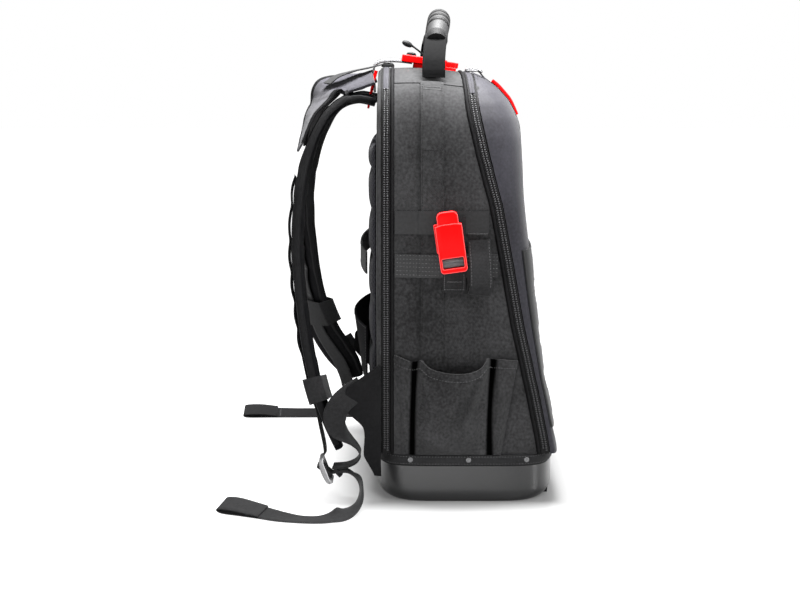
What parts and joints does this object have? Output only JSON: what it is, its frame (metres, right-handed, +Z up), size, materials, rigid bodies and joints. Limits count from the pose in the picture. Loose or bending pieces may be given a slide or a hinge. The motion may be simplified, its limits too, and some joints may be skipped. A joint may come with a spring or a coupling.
{
  "type": "tool backpack",
  "caption": "Tool backpack with a moulded base, moulded front, side pockets, ribbed back, padded shoulder straps and a carrying handle.",
  "frame": {"origin": "centre of the base shell's flat bottom", "axes": "+Z up, -Y towards the pack's front, +Y towards the wearer, -X the wearer's left side"},
  "size_m": [0.5094, 0.3917, 0.5412],
  "materials": {
    "moulded_shell": "satin, finely grained",
    "dark_rubber": "matte",
    "grip_rubber": "matte, ribbed",
    "black_cloth": "plain weave, dull",
    "laminated_cloth": "smooth laminated cloth, dull",
    "moulded_cloth": "smooth moulded cloth, soft sheen",
    "mesh_cloth": "air mesh, dull",
    "pad_cloth": "fine weave over foam, dull",
    "tape": "ribbed binding tape",
    "zip_tape": "zip tape with moulded teeth",
    "webbing": "flat woven webbing",
    "red_plastic": "bright red, semi-gloss",
    "dark_plastic": "dark, semi-gloss",
    "slider_metal": "grey metal"
  },
  "bodies": {
    "root": {"base_shell": "moulded_shell", "front_foot": "dark_rubber", "base_binding": "tape", "side_panel_left": "black_cloth", "side_panel_right": "black_cloth", "top_panel": "black_cloth", "front_piping": "tape", "front_zip": "zip_tape", "rear_piping": "tape", "rear_zip": "zip_tape", "front_dome": "moulded_cloth", "front_slotted_panel": "laminated_cloth", "front_patch": "dark_rubber", "back_lid": "black_cloth", "back_pad": "mesh_cloth", "back_loop": "mesh_cloth", "trolley_sleeve": "mesh_cloth", "handle_grip": "grip_rubber", "top_strap": "webbing", "top_buckle": "red_plastic", "front_slider": "slider_metal", "front_pull": "red_plastic", "rear_slider": "slider_metal", "rear_pull": "red_plastic", "zip_cord_pull": "dark_rubber", "side_strip_left": "webbing", "side_strip_right": "webbing", "upper_band_left": "laminated_cloth", "upper_band_right": "laminated_cloth", "lower_band_left": "laminated_cloth", "lower_band_right": "laminated_cloth", "buckle_web_left": "webbing", "buckle_web_right": "webbing", "tool_loop_left": "webbing", "tool_loop_right": "webbing", "side_pocket_left": "black_cloth", "side_pocket_right": "black_cloth", "side_buckle_left": "red_plastic", "side_buckle_right": "red_plastic", "handle_webbing_left": "webbing", "handle_webbing_right": "webbing", "shoulder_pad_left": "pad_cloth", "shoulder_pad_right": "pad_cloth", "strap_webbing_left": "webbing", "strap_webbing_right": "webbing", "yoke_flap_left": "pad_cloth", "yoke_flap_right": "pad_cloth", "keeper_left": "webbing", "keeper_right": "webbing", "wing_left": "black_cloth", "wing_right": "black_cloth", "lower_webbing_left": "webbing", "lower_webbing_right": "webbing", "webbing_tail_left": "webbing", "webbing_tail_right": "webbing", "ladder_lock_left": "dark_plastic", "ladder_lock_right": "dark_plastic"}
  },
  "joints": []
}
